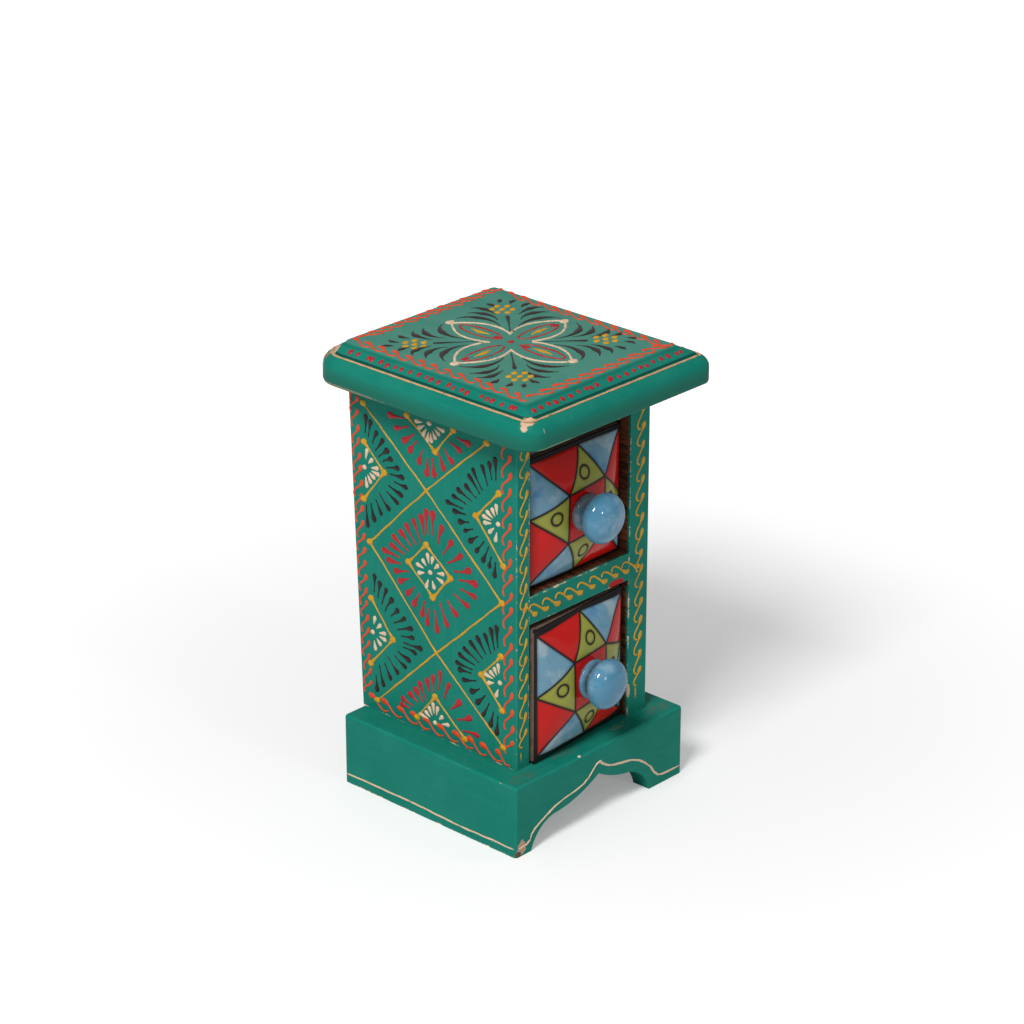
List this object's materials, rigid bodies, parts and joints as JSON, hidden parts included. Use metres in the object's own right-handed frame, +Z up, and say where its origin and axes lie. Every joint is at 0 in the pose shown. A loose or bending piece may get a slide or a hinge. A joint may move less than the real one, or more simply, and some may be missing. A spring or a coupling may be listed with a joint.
{
  "type": "drawer chest",
  "caption": "Small painted wooden chest on an arched plinth, with an overhanging moulded top and glazed ceramic drawers pulled out by round knobs.",
  "frame": {"origin": "on the floor, under the centre of the top board's outline, which is the part's largest plan outline", "axes": "+Z up, -Y out of the front with the drawers, +X to the right of someone who faces the front"},
  "size_m": [0.1134, 0.1254, 0.203],
  "materials": {
    "painted_wood": "hand-painted teal with raised yellow, red, black and cream ornament, worn at the edges",
    "stained_wood": "dark reddish-brown stain",
    "bare_wood": "unfinished",
    "drawer_ceramic": "glossy painted glaze on the front, unglazed light brown body",
    "knob_ceramic": "glossy pale blue glaze",
    "steel": "plain"
  },
  "bodies": {
    "case": {"top_board": "painted_wood", "ceiling_board": "stained_wood", "left_side": "painted_wood", "right_side": "painted_wood", "back_panel": "stained_wood", "shelf": "painted_wood", "base_board": "painted_wood", "plinth_front": "painted_wood", "plinth_left": "painted_wood", "plinth_right": "painted_wood", "plinth_back": "painted_wood", "glue_blocks": "bare_wood", "case_pins": "steel", "top_pins": "steel", "base_pins": "steel", "back_pins": "steel", "plinth_pins": "steel"},
    "upper_drawer_body": {"upper_drawer": "drawer_ceramic", "upper_knob": "knob_ceramic", "upper_knob_stud": "steel", "upper_knob_washer": "steel", "upper_knob_nut": "steel"},
    "lower_drawer_body": {"lower_drawer": "drawer_ceramic", "lower_knob": "knob_ceramic", "lower_knob_stud": "steel", "lower_knob_washer": "steel", "lower_knob_nut": "steel"}
  },
  "joints": [
    {"name": "upper_drawer_slide", "type": "slide", "parent": "case", "child": "upper_drawer_body", "axis": [0, -1, 0], "range_m": [-0.002, 0.064]},
    {"name": "lower_drawer_slide", "type": "slide", "parent": "case", "child": "lower_drawer_body", "axis": [0, -1, 0], "range_m": [-0.002, 0.064]}
  ]
}
